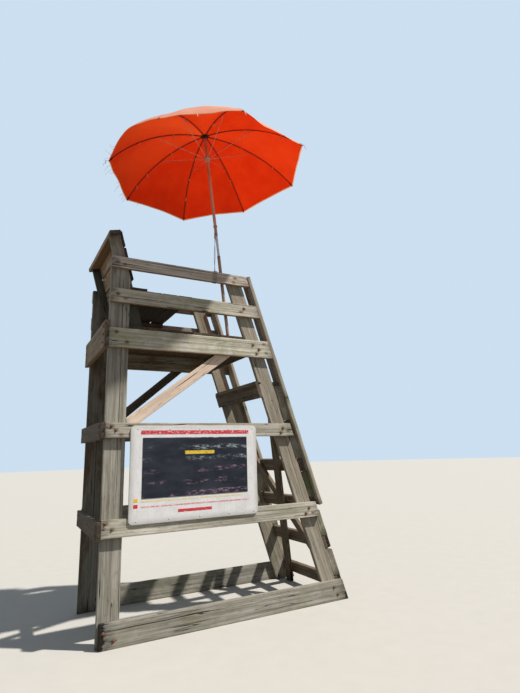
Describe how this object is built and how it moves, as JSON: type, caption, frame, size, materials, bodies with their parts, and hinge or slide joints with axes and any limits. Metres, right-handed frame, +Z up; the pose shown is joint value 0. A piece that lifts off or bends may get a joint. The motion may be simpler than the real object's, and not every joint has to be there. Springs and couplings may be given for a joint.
{
  "type": "lifeguard tower",
  "caption": "Open timber lifeguard stand with raked ladder front, railed high deck and bench with leaning back, side notice board and tied beach umbrella.",
  "frame": {"origin": "on the ground, midway along the skids and midway between the two side frames", "axes": "+X the way the seat faces, towards the ladder; +Y the sitter's left; +Z up"},
  "size_m": [2.5171, 2.1105, 4.9033],
  "materials": {
    "grey_timber": "weathered silver-grey sawn timber",
    "pale_timber": "sun-bleached beige-grey sawn timber",
    "brown_timber": "shaded grey-brown sawn timber",
    "new_pine": "newer planed pine",
    "board_white": "smooth white board, lightly soiled",
    "panel_black": "smooth blue-black writing panel",
    "pole_wood": "varnished round wooden pole, worn",
    "fitting_dark": "dark moulded hub",
    "fitting_white": "off-white moulded runner",
    "rib_metal": "thin rods with rust",
    "canopy_cloth": "sun-faded orange-red woven cloth",
    "rope": "dirty pale twisted rope"
  },
  "bodies": {
    "root": {"right_skid": "grey_timber", "left_skid": "grey_timber", "right_post": "grey_timber", "left_post": "grey_timber", "right_leg": "pale_timber", "left_leg": "pale_timber", "right_leg_blocks": "pale_timber", "left_leg_blocks": "pale_timber", "right_battens": "pale_timber", "left_battens": "pale_timber", "right_bottom_rail": "grey_timber", "left_bottom_rail": "grey_timber", "right_middle_rail": "grey_timber", "left_middle_rail": "grey_timber", "right_deck_rail": "grey_timber", "left_deck_rail": "grey_timber", "right_bench_rail": "grey_timber", "left_bench_rail": "grey_timber", "right_arm_rail": "grey_timber", "left_arm_rail": "grey_timber", "rear_rails": "brown_timber", "rear_deck_rail": "brown_timber", "back_uprights": "grey_timber", "back_slats": "brown_timber", "back_cap": "brown_timber", "deck_boards": "brown_timber", "deck_beam": "brown_timber", "bench_boards": "brown_timber", "bench_cleats": "brown_timber", "footrest_beam": "brown_timber", "footrest_boards": "brown_timber", "rung_1": "brown_timber", "rung_2": "brown_timber", "rung_3": "brown_timber", "rung_4": "brown_timber", "rung_5": "brown_timber", "cross_plank_a": "brown_timber", "cross_plank_b": "brown_timber", "right_brace": "new_pine", "left_brace": "brown_timber", "notice_board": "board_white", "writing_panel": "panel_black", "umbrella_pole": "pole_wood", "umbrella_hub": "fitting_dark", "umbrella_runner": "fitting_white", "umbrella_ribs": "rib_metal", "umbrella_stretchers": "rib_metal", "umbrella_canopy": "canopy_cloth", "tie_rope": "rope"}
  },
  "joints": []
}
